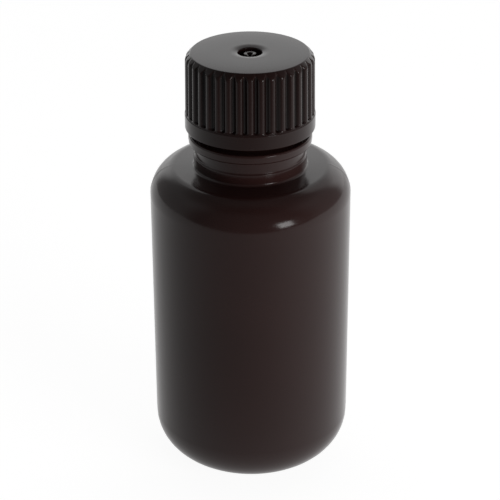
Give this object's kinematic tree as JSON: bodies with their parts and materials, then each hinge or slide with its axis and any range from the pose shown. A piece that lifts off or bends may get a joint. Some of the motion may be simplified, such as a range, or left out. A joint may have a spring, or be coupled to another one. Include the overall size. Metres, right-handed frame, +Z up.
{
  "type": "narrow mouth reagent bottle",
  "caption": "Small round amber plastic bottle with a rounded shoulder, a short beaded neck and a ribbed screw cap that seals its narrow mouth.",
  "frame": {"origin": "centre of the plane that the bottle stands on", "axes": "+Z up along the axis of the bottle and its cap, -Y towards the viewer of the picture"},
  "size_m": [0.0394, 0.0394, 0.087],
  "materials": {
    "amber_hdpe": "satin blow-moulded polyethylene, dark amber",
    "amber_polypropylene": "satin injection-moulded polypropylene, dark amber"
  },
  "bodies": {
    "bottle": {"bottle": "amber_hdpe"},
    "screw_cap": {"screw_cap": "amber_polypropylene"}
  },
  "joints": [
    {"name": "cap_lift", "type": "slide", "parent": "bottle", "child": "screw_cap", "axis": [0, 0, 1], "range_m": [0, 0.03]}
  ]
}
